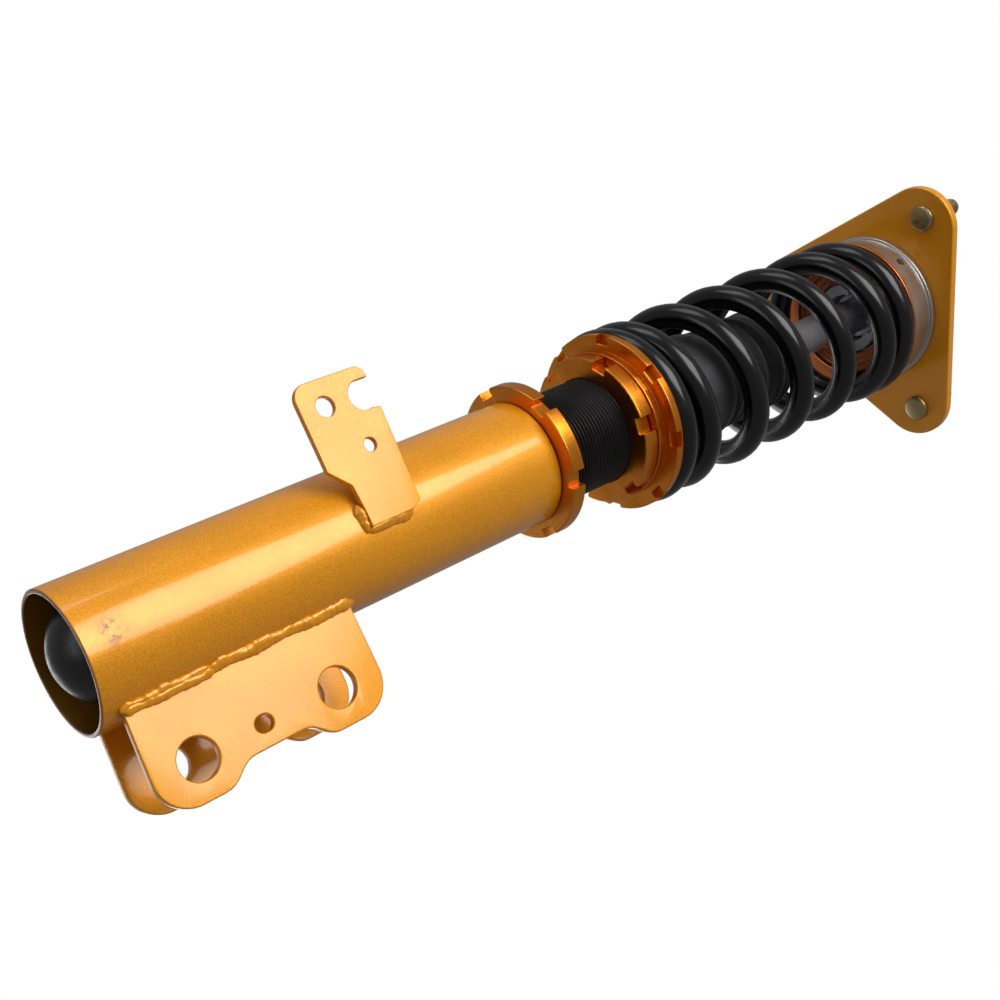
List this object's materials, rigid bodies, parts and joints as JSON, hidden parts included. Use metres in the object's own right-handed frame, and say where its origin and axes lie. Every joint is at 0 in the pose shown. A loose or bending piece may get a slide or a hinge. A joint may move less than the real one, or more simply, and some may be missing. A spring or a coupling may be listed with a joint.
{
  "type": "coilover suspension strut",
  "caption": "Threaded coilover strut with coil spring over a damper, adjustable perch and lock rings, painted clevis bracket tube and triangular top mount.",
  "frame": {"origin": "centre of the stud circle on the top plate's upper face", "axes": "+Z along the strut towards the body of the car, +Y the way the knuckle clevis opens, +X the side of the brake-line bracket"},
  "size_m": [0.1464, 0.1443, 0.5553],
  "materials": {
    "gold_paint": "gloss metallic",
    "orange_anodised": "orange anodised, turned",
    "copper_anodised": "copper anodised, turned",
    "black_thread": "satin",
    "black_spring": "gloss powder coat",
    "black_rubber": "matte",
    "machined_steel": "machined",
    "zinc_grey": "dull zinc plated",
    "rod_chrome": "polished",
    "yellow_zinc": "yellow zinc plated",
    "cap_grey": "satin"
  },
  "bodies": {
    "top_mount": {"top_plate": "gold_paint", "top_stud_1": "yellow_zinc", "top_stud_2": "yellow_zinc", "top_stud_3": "yellow_zinc", "stud_nut_1": "machined_steel", "stud_nut_2": "machined_steel", "stud_nut_3": "machined_steel", "bearing_housing": "machined_steel", "housing_screw_1": "machined_steel", "housing_screw_2": "machined_steel", "housing_screw_3": "machined_steel", "thrust_bearing": "machined_steel", "bearing_race": "machined_steel", "bearing_retainer": "zinc_grey"},
    "rod": {"piston_rod": "rod_chrome", "piston": "machined_steel", "bearing_ball": "rod_chrome", "rod_nut": "yellow_zinc", "upper_spring_seat": "copper_anodised"},
    "perch": {"spring_perch": "orange_anodised", "main_spring": "black_spring"},
    "perch_lock": {"perch_lock_ring": "orange_anodised"},
    "damper": {"damper_tube": "black_thread", "rod_guide": "machined_steel", "rod_seal": "black_rubber", "base_cap": "cap_grey", "dust_boot": "black_rubber"},
    "bracket": {"bracket_tube": "gold_paint", "knuckle_plate_right": "gold_paint", "knuckle_plate_left": "gold_paint", "brake_line_bracket": "gold_paint", "link_tab": "gold_paint"},
    "tube_lock": {"lower_lock_ring": "orange_anodised"}
  },
  "joints": [
    {"name": "steering_swivel", "type": "hinge", "parent": "top_mount", "child": "rod", "pos_m": [0, 0, -0.0132], "axis": [0, 0, 1], "range_deg": [-45, 45]},
    {"name": "suspension_travel", "type": "slide", "parent": "rod", "child": "perch", "axis": [0, 0, 1], "range_m": [0, 0.07], "stiffness_N_per_m": 50000, "deforming": ["main_spring"]},
    {"name": "perch_back_off", "type": "slide", "parent": "perch", "child": "perch_lock", "axis": [0, 0, -1], "range_m": [0, 0.006]},
    {"name": "perch_height", "type": "slide", "parent": "perch", "child": "damper", "axis": [0, 0, -1], "range_m": [-0.018, 0.018]},
    {"name": "ride_height", "type": "slide", "parent": "damper", "child": "bracket", "axis": [0, 0, -1], "range_m": [-0.005, 0.05]},
    {"name": "tube_back_off", "type": "slide", "parent": "bracket", "child": "tube_lock", "axis": [0, 0, 1], "range_m": [0, 0.006]}
  ]
}
